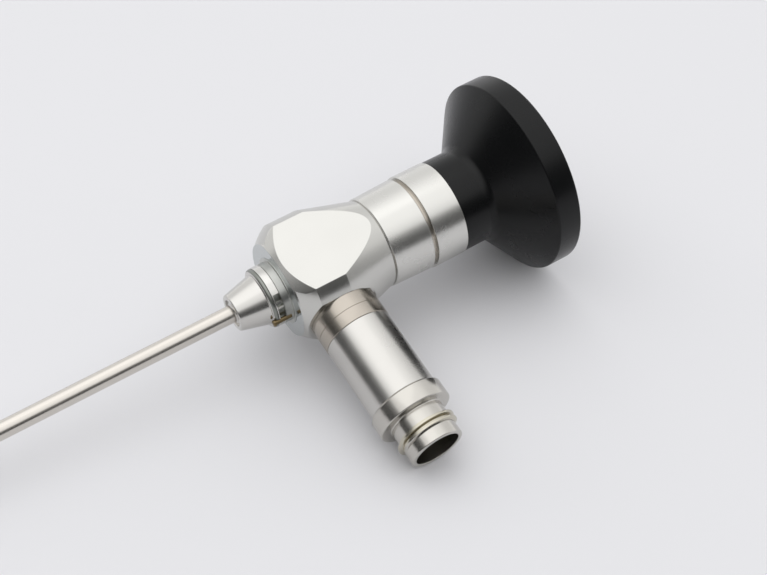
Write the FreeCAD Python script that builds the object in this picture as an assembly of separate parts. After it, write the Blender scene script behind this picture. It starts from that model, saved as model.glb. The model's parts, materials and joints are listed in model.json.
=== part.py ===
import FreeCAD, Part
import math
import os

from FreeCAD import Vector

# A rigid ear endoscope with a straight view, lying on a table. Lengths are in mm.
# Every piece is shaped in the instrument's own frame: +X runs along the optical axis towards
# the eyepiece, the light post stands along -Y, the upper flat faces +Z, and the origin is
# where the two axes cross. The whole instrument is then turned to the way it comes to rest.

# Clearance of a sliding fit, per side, and the gap under which two points are one
FIT = 0.02
SAME_POINT = 1e-6
# How far a cut runs past the metal
CUT_MARGIN = 1.0

# Shaft: outer tube, ring of light fibres, optic tube
SHAFT_R = 1.35
SHAFT_WALL = 0.2
SHAFT_SEAT_R = 1.6
WORKING_LENGTH = 110.1
TIP_ROUND = 0.1
OPTIC_R = 0.95
OPTIC_WALL = 0.1

# Glass train in the optic tube
WINDOW_SETBACK = 0.1
WINDOW_THICKNESS = 0.5
OBJECTIVE_THICKNESS = 1.2
ROD_COUNT = 4
SPACER_LENGTH = 2.0
SPACER_WALL = 0.15
ROD_DOME = 0.12
TRAIN_SETBACK = 0.2

# Tapered socket that holds the shaft
SOCKET_FRONT_R = 2.9
SOCKET_REAR_R = 4.06
SOCKET_CONE_LENGTH = 4.65
SOCKET_RIM_WIDTH = 0.75
SOCKET_RIM_ROUND = 0.25
SOCKET_RECESS = 0.55
FLANGE_R = 4.8
FLANGE_WIDTH = 0.6
FLANGE_GAP = 0.1
DRUM_R = 4.2
SOCKET_SPIGOT_LENGTH = 1.55
SEAL_CORD_R = 0.35
SEAL_INSET = 0.8

# Lock ring on the front face of the body
RING_R = 4.85
RING_LENGTH = 2.5
RING_CLEARANCE = 0.05
RING_LIP = 0.15
RING_LINE = 0.1
FOOT_R = 5.41
FOOT_WIDTH = 0.12
NOTCH_WIDTH = 1.3
NOTCH_START = 120.0
BAR_WIDTH = 0.35
BAR_HEIGHT = 0.25
BAR_ANGLES = (138.0, 148.5)

# Brass pin let into the flange and the lock ring
PIN_R = 0.38
PIN_PITCH_R = 4.75
PIN_ANGLE = 176.0
PIN_NOTCH_STEP = 1.5
PIN_LENGTH = 2.7
PIN_HEAD_R = 0.5
PIN_HEAD_LENGTH = 0.4
PIN_HEAD_ROUND = 0.13

# Turned body
BODY_FRONT_X = -6.55
BODY_R = 9.65
FRONT_EDGE_R = 7.62
FRONT_LAND = 0.25
FRONT_LAND_RISE = 0.12
SHOULDER_LENGTH = 2.48
SHOULDER_BULGE = 0.11
BODY_STRAIGHT = 5.1
BODY_TAPER = 8.82
BODY_REAR_R = 7.12
SEAM_STEP = 0.26
BORE_R = 3.4
SEAM_CHAMFER = 0.1

# Flats milled on the body
TOP_FLAT = 7.42
RELIEF_INSET = 0.6
RELIEF_DROP = 5.0
RELIEF_SLOPE = 0.68
SIDE_FLAT = 8.05
RUN_OUT_R = 5.65

# Light post: base ring, sleeve, and spigot with collar, neck, ridge and mouth
BASE_RING_R = 5.4
BASE_RING_LENGTH = 4.35
BASE_RING_LINE = 2.25
BASE_SPIGOT_R = 4.0
BASE_SPIGOT_DEPTH = 3.05
POST_DUCT_R = 3.0
SLEEVE_R = 5.32
SLEEVE_LENGTH = 12.75
SLEEVE_TAIL_R = 4.2
SLEEVE_TAIL_LENGTH = 2.9
COLLAR_R = 5.85
COLLAR_LENGTH = 3.05
COLLAR_CHAMFER = 0.35
POST_END_R = 4.25
POST_END_LENGTH = 5.7
POST_TAIL_R = 4.4
POST_TAIL_LENGTH = 5.15
MOUTH_BORE_R = 3.56
MOUTH_DEPTH = 7.9
MOUTH_ROUND = 0.2
EDGE_ROUND = 0.1

# Coarse ridge round the light post
RIDGE_R = 4.82
RIDGE_PITCH = 1.3
RIDGE_TURNS = 1.9
RIDGE_START = 2.15
RIDGE_BASE_WIDTH = 0.85
RIDGE_CREST_WIDTH = 0.35
RIDGE_ROOT = 0.1

# Light guide: bent bundle, glass taper, ferrule
BUNDLE_R = 0.65
BUNDLE_BEND_R = 4.5
BUNDLE_CLEARANCE = 0.07
FERRULE_R = 3.2
TAPER_LENGTH = 5.0
TAPER_END_R = 1.5

# Barrels
FRONT_BARREL_LENGTH = 6.74
FRONT_BARREL_STEP = 0.15
FRONT_SPIGOT_LENGTH = 3.6
GROOVE_WIDTH = 0.63
GROOVE_SEAL_R = 7.2
REAR_BARREL_LENGTH = 5.39
REAR_BARREL_R = 7.75
BARREL_JOINT_R = 6.0
BARREL_JOINT_LENGTH = 2.34
CELL_R = 4.6
CELL_WALL = 0.7
CELL_SEAT_DEPTH = 2.0

# Ocular in its cell
STOP_SETBACK = 0.9
STOP_THICKNESS = 0.4
STOP_HOLE_R = 1.2
FIELD_SPACER_LENGTH = 4.6
LENS_LAND = 0.5
LENS_EDGE = 1.2
LENS_DOME = 0.35
LENS_RING_LENGTH = 0.9

# Eyepiece cup
CUP_NECK_R = 7.65
CUP_NECK_LENGTH = 5.14
CUP_NECK_ROUND = 1.8
CUP_R = 15.9
CUP_FUNNEL_LENGTH = 6.3
CUP_RIM_WIDTH = 3.98
CUP_EDGE_ROUND = 0.35
CUP_RIM_WALL = 1.3
CUP_DISH_LENGTH = 7.4
CUP_DISH_ROUND = 1.0
CUP_DISH_DEPTH = 9.88
CUP_SPIGOT_LENGTH = 3.14
CUP_LEDGE = 0.6
CUP_LEDGE_R = 4.3
EYE_WINDOW_R = 5.0
EYE_WINDOW_THICKNESS = 1.0
EYE_RING_WALL = 0.9

# Stations along the axis
RING_FRONT_X = BODY_FRONT_X - RING_LENGTH
FLANGE_REAR_X = RING_FRONT_X - FLANGE_GAP
FLANGE_FRONT_X = FLANGE_REAR_X - FLANGE_WIDTH
SOCKET_FRONT_X = FLANGE_FRONT_X - SOCKET_CONE_LENGTH
SHAFT_SEAT_X = SOCKET_FRONT_X + SOCKET_RECESS
SOCKET_REAR_X = BODY_FRONT_X + SOCKET_SPIGOT_LENGTH
TIP_X = SOCKET_FRONT_X - WORKING_LENGTH
SHOULDER_X = BODY_FRONT_X + FRONT_LAND
BODY_FULL_X = SHOULDER_X + SHOULDER_LENGTH
BODY_TAPER_X = BODY_FULL_X + BODY_STRAIGHT
BODY_REAR_X = BODY_TAPER_X + BODY_TAPER
FRONT_BARREL_R = BODY_REAR_R + SEAM_STEP
CELL_SEAT_X = BODY_REAR_X + CELL_SEAT_DEPTH
GROOVE_X = BODY_REAR_X + FRONT_BARREL_LENGTH
REAR_BARREL_X = GROOVE_X + GROOVE_WIDTH
CUP_X = REAR_BARREL_X + REAR_BARREL_LENGTH
BARREL_TAIL_X = CUP_X + CUP_SPIGOT_LENGTH
EYE_WINDOW_X = BARREL_TAIL_X + CUP_LEDGE
CUP_FUNNEL_X = CUP_X + CUP_NECK_LENGTH
CUP_CREASE_X = CUP_FUNNEL_X + CUP_FUNNEL_LENGTH
CUP_REAR_X = CUP_CREASE_X + CUP_RIM_WIDTH
CUP_DISH_X = CUP_REAR_X - CUP_DISH_DEPTH

# Stations along the light post, measured from the optical axis
BASE_SPIGOT_B = SIDE_FLAT - BASE_SPIGOT_DEPTH
SLEEVE_B = SIDE_FLAT + BASE_RING_LENGTH
SLEEVE_TAIL_B = SLEEVE_B - SLEEVE_TAIL_LENGTH
COLLAR_B = SLEEVE_B + SLEEVE_LENGTH
POST_TAIL_B = COLLAR_B - POST_TAIL_LENGTH
NECK_B = COLLAR_B + COLLAR_LENGTH
MOUTH_B = NECK_B + POST_END_LENGTH
FERRULE_B = MOUTH_B - MOUTH_DEPTH
TAPER_B = FERRULE_B - TAPER_LENGTH

SHAFT_BORE_R = SHAFT_R - SHAFT_WALL
OPTIC_BORE_R = OPTIC_R - OPTIC_WALL
CELL_BORE_R = CELL_R - CELL_WALL
CUTTER_SIZE = 4 * BODY_R
AXIS = Vector(1, 0, 0)


def bulged(start, stop, bulge):
    """Corner between two (x, r) points whose rounding is one arc from start to stop.

    The arc bulges to the left of the way from start to stop."""
    dx = stop[0] - start[0]
    dr = stop[1] - start[1]
    half_chord = math.hypot(dx, dr) / 2
    turn = 2 * math.atan(bulge / half_chord)
    height = half_chord * math.tan(turn)
    x = (start[0] + stop[0]) / 2 - dr / (2 * half_chord) * height
    r = (start[1] + stop[1]) / 2 + dx / (2 * half_chord) * height
    return (x, r, half_chord / math.sin(turn))


def outline(points):
    """Face inside the corners (x, r) or (x, r, rounding), drawn in the XY plane."""
    corners = []
    for i, point in enumerate(points):
        corner = Vector(point[0], point[1], 0)
        if len(point) == 2:
            corners.append((corner, None, corner))
            continue
        before = points[i - 1]
        after = points[(i + 1) % len(points)]
        back = (Vector(before[0], before[1], 0) - corner).normalize()
        ahead = (Vector(after[0], after[1], 0) - corner).normalize()
        half = back.getAngle(ahead) / 2
        reach = point[2] / math.tan(half)
        inward = (back + ahead).normalize()
        middle = corner + inward * (point[2] / math.sin(half) - point[2])
        corners.append((corner + back * reach, middle, corner + ahead * reach))
    edges = []
    for i, (start, middle, stop) in enumerate(corners):
        if middle is not None:
            edges.append(Part.Arc(start, middle, stop).toShape())
        following = corners[(i + 1) % len(corners)][0]
        if (following - stop).Length > SAME_POINT:
            edges.append(Part.makeLine(stop, following))
    return Part.Face(Part.Wire(edges))


def turned(points):
    """Solid turned round the X axis."""
    return outline(points).revolve(Vector(), AXIS, 360)


def tube(x0, x1, inner, outer):
    return turned([(x0, inner), (x0, outer), (x1, outer), (x1, inner)])


def disc(x0, x1, radius):
    return Part.makeCylinder(radius, x1 - x0, Vector(x0, 0, 0), AXIS)


def torus(x, radius, cord_radius):
    return Part.makeTorus(radius, cord_radius, Vector(x, 0, 0), AXIS)


def stand(shape):
    """Turns a piece made along +X to stand along the light post, -Y."""
    shape.rotate(Vector(), Vector(0, 0, 1), -90)
    return shape


def around(shape, angle):
    """Turns a piece made above the axis at +Y to an angle round the axis."""
    shape.rotate(Vector(), AXIS, angle)
    return shape


def lens(x0, x1, radius, land, front_dome, rear_dome):
    """Round glass with domed faces inside a flat land at each edge."""
    clear = radius - land - FIT
    points = [(x0, 0)]
    if front_dome:
        apex = (x0 - front_dome, 0)
        points = [apex, dome_corner(apex, (x0, clear)), (x0, clear)]
    points += [(x0, radius), (x1, radius)]
    apex = (x1 + rear_dome, 0)
    points += [(x1, clear), dome_corner((x1, clear), apex), apex]
    return turned(points)


def dome_corner(start, stop):
    """Arc of a sphere that meets the axis squarely."""
    depth = abs(stop[0] - start[0])
    radius = abs(stop[1] - start[1])
    sphere = (radius ** 2 + depth ** 2) / (2 * depth)
    half_chord = math.hypot(depth, radius) / 2
    return bulged(start, stop, sphere - math.sqrt(sphere ** 2 - half_chord ** 2))


def shaft_tube():
    """Outer tube with a thicker end that sits in the socket."""
    return turned([
        (TIP_X, SHAFT_BORE_R),
        (TIP_X, SHAFT_R, TIP_ROUND),
        (SHAFT_SEAT_X, SHAFT_R),
        (SHAFT_SEAT_X, SHAFT_SEAT_R),
        (SOCKET_REAR_X, SHAFT_SEAT_R),
        (SOCKET_REAR_X, SHAFT_BORE_R),
    ])


def glass_train(pieces):
    """Window, objective, and rods with a spacer in front of each."""
    x = TIP_X + WINDOW_SETBACK
    pieces["distal_window"] = disc(x, x + WINDOW_THICKNESS, OPTIC_BORE_R)
    x += WINDOW_THICKNESS
    pieces["objective_lens"] = lens(x, x + OBJECTIVE_THICKNESS, OPTIC_BORE_R,
                                    SPACER_WALL, 0, ROD_DOME)
    x += OBJECTIVE_THICKNESS
    length = (CELL_SEAT_X - TRAIN_SETBACK - x) / ROD_COUNT
    for number in range(1, ROD_COUNT + 1):
        rod_x = x + SPACER_LENGTH
        pieces[f"rod_spacer_{number}"] = tube(x, rod_x, OPTIC_BORE_R - SPACER_WALL, OPTIC_BORE_R)
        x += length
        pieces[f"rod_lens_{number}"] = lens(rod_x, x, OPTIC_BORE_R,
                                              SPACER_WALL, ROD_DOME, ROD_DOME)


def pin_space(x0, x1):
    """Round space for the pin beside the axis."""
    space = Part.makeCylinder(PIN_R, x1 - x0, Vector(x0, PIN_PITCH_R, 0), AXIS)
    return around(space, PIN_ANGLE)


def shaft_socket():
    rim_inner = SOCKET_FRONT_R - SOCKET_RIM_WIDTH
    seal_x = BODY_FRONT_X + SEAL_INSET
    spigot_r = BORE_R - FIT
    socket = turned([
        (SHAFT_SEAT_X, SHAFT_SEAT_R),
        (SHAFT_SEAT_X, rim_inner),
        (SOCKET_FRONT_X, rim_inner, EDGE_ROUND),
        (SOCKET_FRONT_X, SOCKET_FRONT_R, SOCKET_RIM_ROUND),
        (FLANGE_FRONT_X, SOCKET_REAR_R),
        (FLANGE_FRONT_X, FLANGE_R, EDGE_ROUND),
        (FLANGE_REAR_X, FLANGE_R, EDGE_ROUND),
        (FLANGE_REAR_X, DRUM_R),
        (BODY_FRONT_X, DRUM_R),
        (BODY_FRONT_X, spigot_r),
        (seal_x - SEAL_CORD_R, spigot_r),
        (seal_x - SEAL_CORD_R, BORE_R - 2 * SEAL_CORD_R),
        (seal_x + SEAL_CORD_R, BORE_R - 2 * SEAL_CORD_R),
        (seal_x + SEAL_CORD_R, spigot_r),
        (SOCKET_REAR_X, spigot_r),
        (SOCKET_REAR_X, SHAFT_SEAT_R),
    ])
    return socket.cut(pin_space(FLANGE_FRONT_X - CUT_MARGIN, FLANGE_REAR_X + FLANGE_GAP / 2))


def socket_seal():
    return torus(BODY_FRONT_X + SEAL_INSET, BORE_R - SEAL_CORD_R, SEAL_CORD_R)


def lock_ring():
    """Thin ring with a lip, a notch cut through to the drum, a fine line and a flat foot."""
    bore = DRUM_R + RING_CLEARANCE
    notch_x = RING_FRONT_X + RING_LIP
    line_x = notch_x + NOTCH_WIDTH
    foot_x = BODY_FRONT_X - FOOT_WIDTH
    ring = turned([
        (RING_FRONT_X, bore),
        (RING_FRONT_X, RING_R),
        (line_x, RING_R),
        (line_x + RING_LINE / 2, RING_R - RING_LINE),
        (line_x + RING_LINE, RING_R),
        (foot_x, RING_R),
        (foot_x, FOOT_R),
        (BODY_FRONT_X, FOOT_R),
        (BODY_FRONT_X, bore),
    ])
    sweep = PIN_ANGLE - PIN_NOTCH_STEP - NOTCH_START
    notch = outline([
        (notch_x, bore / 2),
        (notch_x, 2 * RING_R),
        (line_x, 2 * RING_R),
        (line_x, bore / 2),
    ]).revolve(Vector(), AXIS, sweep)
    pin = pin_space(RING_FRONT_X - FLANGE_GAP / 2, pin_rear_x())
    return ring.cut(around(notch, NOTCH_START).fuse(pin))


def pin_rear_x():
    return FLANGE_FRONT_X + PIN_LENGTH


def lock_pin():
    """Brass pin with a round head in front of the flange."""
    head = turned([
        (FLANGE_FRONT_X - PIN_HEAD_LENGTH, 0),
        (FLANGE_FRONT_X - PIN_HEAD_LENGTH, PIN_HEAD_R, PIN_HEAD_ROUND),
        (FLANGE_FRONT_X, PIN_HEAD_R),
        (FLANGE_FRONT_X, PIN_R),
        (pin_rear_x(), PIN_R),
        (pin_rear_x(), 0),
    ])
    head.translate(Vector(0, PIN_PITCH_R, 0))
    head = around(head, PIN_ANGLE)
    return head.cut(disc(SOCKET_FRONT_X, FLANGE_FRONT_X, SOCKET_REAR_R + FIT))


def lock_bars():
    """Two small bars on the drum, in the notch of the ring."""
    x0 = RING_FRONT_X + RING_LIP + FIT
    length = NOTCH_WIDTH - 2 * FIT
    bars = []
    for angle in BAR_ANGLES:
        bar = Part.makeBox(length, DRUM_R + BAR_HEIGHT, BAR_WIDTH, Vector(x0, 0, -BAR_WIDTH / 2))
        bar = bar.cut(disc(x0 - CUT_MARGIN, x0 + length + CUT_MARGIN, DRUM_R))
        bars.append(around(bar.Solids[0], angle))
    return Part.makeCompound(bars)


def flat_cutter(side):
    """Removes what lies beyond an upper or lower flat and its conical relief in front."""
    size = CUTTER_SIZE
    x0 = BODY_FRONT_X - CUT_MARGIN
    flat = Part.makeBox(size, size, size, Vector(x0, -size / 2, TOP_FLAT))
    length = BODY_FULL_X + CUT_MARGIN - x0
    start_r = TOP_FLAT + RELIEF_DROP - RELIEF_SLOPE * (CUT_MARGIN + RELIEF_INSET)
    end_r = start_r + RELIEF_SLOPE * length
    block = Part.makeBox(length, size, size, Vector(x0, -size / 2, BORE_R + CUT_MARGIN))
    keep = Part.makeCone(start_r, end_r, length, Vector(x0, 0, -RELIEF_DROP), AXIS)
    cutter = flat.fuse(block.cut(keep))
    if side < 0:
        cutter.rotate(Vector(), AXIS, 180)
    return cutter


def body_housing():
    """Turned body with an upper, a lower and a side flat, bored for shaft, barrel and post."""
    shoulder_start = (SHOULDER_X, FRONT_EDGE_R + FRONT_LAND_RISE)
    shoulder_stop = (BODY_FULL_X, BODY_R)
    body = turned([
        (BODY_FRONT_X, BORE_R),
        (BODY_FRONT_X, FRONT_EDGE_R),
        shoulder_start,
        bulged(shoulder_start, shoulder_stop, SHOULDER_BULGE),
        shoulder_stop,
        (BODY_TAPER_X, BODY_R),
        (BODY_REAR_X, BODY_REAR_R),
        (BODY_REAR_X, BORE_R),
    ])
    body = body.cut(flat_cutter(1)).cut(flat_cutter(-1))
    size = CUTTER_SIZE
    mill = Part.makeBox(size, size, size, Vector(-size, -SIDE_FLAT - size, -size / 2))
    mill = mill.fuse(stand(disc(SIDE_FLAT, SIDE_FLAT + size, RUN_OUT_R)))
    body = body.cut(mill)
    body = body.cut(stand(disc(0, SIDE_FLAT + CUT_MARGIN, POST_DUCT_R)))
    return body.cut(stand(disc(BASE_SPIGOT_B, SIDE_FLAT + CUT_MARGIN, BASE_SPIGOT_R)))


def post_base_ring():
    line_b = SIDE_FLAT + BASE_RING_LINE
    return stand(turned([
        (BASE_SPIGOT_B, POST_DUCT_R),
        (BASE_SPIGOT_B, BASE_SPIGOT_R - FIT),
        (SIDE_FLAT, BASE_SPIGOT_R - FIT),
        (SIDE_FLAT, BASE_RING_R, EDGE_ROUND),
        (line_b - EDGE_ROUND / 2, BASE_RING_R),
        (line_b, BASE_RING_R - EDGE_ROUND),
        (line_b + EDGE_ROUND / 2, BASE_RING_R),
        (SLEEVE_B, BASE_RING_R, EDGE_ROUND),
        (SLEEVE_B, SLEEVE_TAIL_R),
        (SLEEVE_TAIL_B, SLEEVE_TAIL_R),
        (SLEEVE_TAIL_B, POST_DUCT_R),
    ]))


def post_sleeve():
    return stand(turned([
        (SLEEVE_TAIL_B, POST_DUCT_R),
        (SLEEVE_TAIL_B, SLEEVE_TAIL_R - FIT),
        (SLEEVE_B, SLEEVE_TAIL_R - FIT),
        (SLEEVE_B, SLEEVE_R),
        (COLLAR_B, SLEEVE_R, EDGE_ROUND),
        (COLLAR_B, POST_TAIL_R),
        (POST_TAIL_B, POST_TAIL_R),
        (POST_TAIL_B, POST_DUCT_R),
    ]))


def ridge():
    """Raised ridge wound round the neck of the light post."""
    root = POST_END_R - RIDGE_ROOT
    helix = Part.makeHelix(RIDGE_PITCH, RIDGE_PITCH * RIDGE_TURNS, root)
    section = Part.makePolygon([
        Vector(root, 0, -RIDGE_BASE_WIDTH / 2),
        Vector(RIDGE_R, 0, -RIDGE_CREST_WIDTH / 2),
        Vector(RIDGE_R, 0, RIDGE_CREST_WIDTH / 2),
        Vector(root, 0, RIDGE_BASE_WIDTH / 2),
        Vector(root, 0, -RIDGE_BASE_WIDTH / 2),
    ])
    wound = Part.Wire(helix.Edges).makePipeShell([section], True, True)
    wound.rotate(Vector(), Vector(0, 1, 0), 90)
    wound.translate(Vector(NECK_B + RIDGE_START, 0, 0))
    return wound


def post_spigot():
    """Collar, neck, ridge and open mouth, with a tail inside the sleeve."""
    spigot = turned([
        (FERRULE_B, MOUTH_BORE_R),
        (FERRULE_B, FERRULE_R),
        (POST_TAIL_B, FERRULE_R),
        (POST_TAIL_B, POST_TAIL_R - FIT),
        (COLLAR_B, POST_TAIL_R - FIT),
        (COLLAR_B, COLLAR_R - COLLAR_CHAMFER),
        (COLLAR_B + COLLAR_CHAMFER, COLLAR_R),
        (NECK_B, COLLAR_R, MOUTH_ROUND),
        (NECK_B, POST_END_R, MOUTH_ROUND),
        (MOUTH_B, POST_END_R, MOUTH_ROUND),
        (MOUTH_B, MOUTH_BORE_R, EDGE_ROUND),
    ])
    return stand(spigot.fuse(ridge()))


def light_ferrule():
    return stand(turned([
        (TAPER_B, BUNDLE_R),
        (TAPER_B, FERRULE_R),
        (FERRULE_B, FERRULE_R),
        (FERRULE_B, TAPER_END_R),
    ]))


def light_taper():
    return stand(turned([
        (TAPER_B, 0),
        (TAPER_B, BUNDLE_R),
        (FERRULE_B, TAPER_END_R),
        (FERRULE_B, 0),
    ]))


def fibre_bundle():
    """Bundle that leaves the shaft beside the optic tube and bends into the post."""
    y = -(OPTIC_R + BUNDLE_CLEARANCE + BUNDLE_R)
    start = Vector(SOCKET_REAR_X, y, 0)
    bend_start = Vector(-BUNDLE_BEND_R, y, 0)
    bend_stop = Vector(0, y - BUNDLE_BEND_R, 0)
    middle = Vector(-BUNDLE_BEND_R * (1 - math.sqrt(0.5)),
                    y - BUNDLE_BEND_R * (1 - math.sqrt(0.5)), 0)
    path = Part.Wire([
        Part.makeLine(start, bend_start),
        Part.Arc(bend_start, middle, bend_stop).toShape(),
        Part.makeLine(bend_stop, Vector(0, -TAPER_B, 0)),
    ])
    section = Part.Wire(Part.makeCircle(BUNDLE_R, start, AXIS))
    return path.makePipeShell([section], True, False)


def front_barrel():
    spigot_x = BODY_REAR_X - FRONT_SPIGOT_LENGTH
    joint_x = GROOVE_X - BARREL_JOINT_LENGTH
    return turned([
        (spigot_x, OPTIC_R),
        (spigot_x, BORE_R - FIT),
        (BODY_REAR_X, BORE_R - FIT),
        (BODY_REAR_X, FRONT_BARREL_R - SEAM_CHAMFER),
        (BODY_REAR_X + SEAM_CHAMFER, FRONT_BARREL_R),
        (GROOVE_X, REAR_BARREL_R - FRONT_BARREL_STEP, EDGE_ROUND),
        (GROOVE_X, BARREL_JOINT_R),
        (joint_x, BARREL_JOINT_R),
        (joint_x, CELL_R),
        (CELL_SEAT_X, CELL_R),
        (CELL_SEAT_X, OPTIC_R),
    ])


def rear_barrel():
    joint_x = GROOVE_X - BARREL_JOINT_LENGTH
    return turned([
        (joint_x, CELL_R),
        (joint_x, BARREL_JOINT_R - FIT),
        (REAR_BARREL_X, BARREL_JOINT_R - FIT),
        (REAR_BARREL_X, REAR_BARREL_R, EDGE_ROUND),
        (CUP_X, REAR_BARREL_R, EDGE_ROUND),
        (CUP_X, BARREL_JOINT_R - FIT),
        (BARREL_TAIL_X, BARREL_JOINT_R - FIT),
        (BARREL_TAIL_X, CELL_R),
    ])


def ocular(pieces):
    """Cell with field stop, spacer tube, two lenses and the rings that hold them."""
    pieces["ocular_cell"] = tube(CELL_SEAT_X, BARREL_TAIL_X, CELL_BORE_R, CELL_R)
    x = CELL_SEAT_X + STOP_SETBACK
    pieces["field_stop"] = tube(x, x + STOP_THICKNESS, STOP_HOLE_R, CELL_BORE_R)
    x += STOP_THICKNESS
    inner = CELL_BORE_R - LENS_LAND
    pieces["field_spacer"] = tube(x, x + FIELD_SPACER_LENGTH, inner, CELL_BORE_R)
    x += FIELD_SPACER_LENGTH
    pieces["ocular_lens_front"] = lens(x, x + LENS_EDGE, CELL_BORE_R,
                                       LENS_LAND, LENS_DOME, LENS_DOME)
    x += LENS_EDGE
    pieces["ocular_spacer"] = tube(x, x + LENS_RING_LENGTH, inner, CELL_BORE_R)
    x += LENS_RING_LENGTH
    pieces["ocular_lens_rear"] = lens(x, x + LENS_EDGE, CELL_BORE_R,
                                       LENS_LAND, LENS_DOME, LENS_DOME)
    x += LENS_EDGE
    pieces["ocular_retainer"] = tube(x, x + LENS_RING_LENGTH, inner, CELL_BORE_R)


def eyepiece_cup():
    """Black cup: neck, flaring funnel, rim, and an open dish behind down to the window."""
    rim_inner = CUP_R - CUP_RIM_WALL
    return turned([
        (CUP_X, BARREL_JOINT_R),
        (CUP_X, CUP_NECK_R, EDGE_ROUND),
        (CUP_FUNNEL_X, CUP_NECK_R, CUP_NECK_ROUND),
        (CUP_CREASE_X, CUP_R, CUP_EDGE_ROUND),
        (CUP_REAR_X, CUP_R, CUP_EDGE_ROUND),
        (CUP_REAR_X, rim_inner, CUP_EDGE_ROUND),
        (CUP_DISH_X + CUP_DISH_LENGTH, rim_inner, CUP_DISH_ROUND),
        (CUP_DISH_X, EYE_WINDOW_R),
        (EYE_WINDOW_X, EYE_WINDOW_R),
        (EYE_WINDOW_X, CUP_LEDGE_R),
        (BARREL_TAIL_X, CUP_LEDGE_R),
        (BARREL_TAIL_X, BARREL_JOINT_R),
    ])


def eyepiece_window():
    return disc(EYE_WINDOW_X, EYE_WINDOW_X + EYE_WINDOW_THICKNESS, EYE_WINDOW_R)


def window_ring():
    x = EYE_WINDOW_X + EYE_WINDOW_THICKNESS
    inner = EYE_WINDOW_R - EYE_RING_WALL
    return turned([
        (x, inner),
        (x, EYE_WINDOW_R),
        (CUP_DISH_X, EYE_WINDOW_R),
        (CUP_DISH_X, inner, EDGE_ROUND),
    ])


def all_pieces():
    pieces = {
        "shaft_tube": shaft_tube(),
        "light_fibres": tube(TIP_X, SOCKET_REAR_X, OPTIC_R, SHAFT_BORE_R),
        "optic_tube": tube(TIP_X, CELL_SEAT_X, OPTIC_BORE_R, OPTIC_R),
        "shaft_socket": shaft_socket(),
        "socket_seal": socket_seal(),
        "lock_ring": lock_ring(),
        "lock_pin": lock_pin(),
        "lock_bars": lock_bars(),
        "body_housing": body_housing(),
        "post_base_ring": post_base_ring(),
        "post_sleeve": post_sleeve(),
        "post_spigot": post_spigot(),
        "light_ferrule": light_ferrule(),
        "light_taper": light_taper(),
        "fibre_bundle": fibre_bundle(),
        "front_barrel": front_barrel(),
        "groove_seal": tube(GROOVE_X, REAR_BARREL_X, BARREL_JOINT_R - FIT, GROOVE_SEAL_R),
        "rear_barrel": rear_barrel(),
        "eyepiece_cup": eyepiece_cup(),
        "eyepiece_window": eyepiece_window(),
        "window_ring": window_ring(),
    }
    glass_train(pieces)
    ocular(pieces)
    return pieces


def rest_turn():
    """Turn that lays the instrument on its cup rim, shaft tip and post mouth.

    Each of the three touches the table with a rounded edge: a circle of radius r at a
    distance a along its own axis, swollen by the rounding."""
    cup_a = CUP_CREASE_X + CUP_EDGE_ROUND
    cup_r = CUP_R - CUP_EDGE_ROUND
    tip_a = TIP_X + TIP_ROUND
    tip_r = SHAFT_R - TIP_ROUND
    mouth_a = MOUTH_B - MOUTH_ROUND
    mouth_r = POST_END_R - MOUTH_ROUND
    run = math.hypot(cup_a - tip_a, cup_r - tip_r)
    pitch = math.atan2(cup_r - tip_r, cup_a - tip_a) + math.asin((CUP_EDGE_ROUND - TIP_ROUND) / run)
    floor = math.sin(pitch) * cup_a - math.cos(pitch) * cup_r - CUP_EDGE_ROUND
    reach = math.hypot(mouth_a, mouth_r)
    roll = math.asin((-floor - MOUTH_ROUND) / reach) - math.atan2(mouth_r, mouth_a)
    up_x = math.sin(pitch)
    up_y = math.sin(roll)
    up = Vector(up_x, up_y, math.sqrt(1 - up_x ** 2 - up_y ** 2))
    along = (AXIS - up * up_x).normalize()
    across = up.cross(along)
    return FreeCAD.Placement(FreeCAD.Matrix(
        along.x, along.y, along.z, 0,
        across.x, across.y, across.z, 0,
        up.x, up.y, up.z, 0,
        0, 0, 0, 1))


def rest_place(pieces):
    """Turn to the rest pose, then centre over the origin with the lowest point at z = 0."""
    turn = rest_turn()
    whole = Part.makeCompound(list(pieces.values()))
    whole.Placement = turn
    box = whole.optimalBoundingBox(False, False)
    shift = Vector(-(box.XMin + box.XMax) / 2, -(box.YMin + box.YMax) / 2, -box.ZMin)
    return FreeCAD.Placement(shift, FreeCAD.Rotation()).multiply(turn)


def main():
    os.makedirs("parts", exist_ok=True)
    pieces = all_pieces()
    place = rest_place(pieces)
    for name, shape in pieces.items():
        shape.transformShape(place.toMatrix(), True)
        shape.exportStep(f"parts/{name}.step")


if __name__ == "__main__":
    main()
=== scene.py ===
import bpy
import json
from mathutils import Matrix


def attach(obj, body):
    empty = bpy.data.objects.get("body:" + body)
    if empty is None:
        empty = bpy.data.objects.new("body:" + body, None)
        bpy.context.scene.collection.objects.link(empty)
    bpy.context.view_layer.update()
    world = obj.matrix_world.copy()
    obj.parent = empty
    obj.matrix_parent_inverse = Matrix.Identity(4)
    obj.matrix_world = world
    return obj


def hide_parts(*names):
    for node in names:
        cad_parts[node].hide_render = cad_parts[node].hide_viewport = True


bl_info = {
    "name": "Ear Endoscope",
    "version": (1, 0, 0),
    "blender": (4, 5, 0),
    "location": "3D View > Sidebar > Ear Endoscope",
    "description": "Builds the finished look of a rigid ear endoscope round its solid model",
    "category": "Object",
}

import json
import math

import bmesh
import bpy
from bpy.props import FloatProperty, FloatVectorProperty, PointerProperty
from bpy.types import Operator, Panel, PropertyGroup
from mathutils import Matrix, Vector

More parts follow.
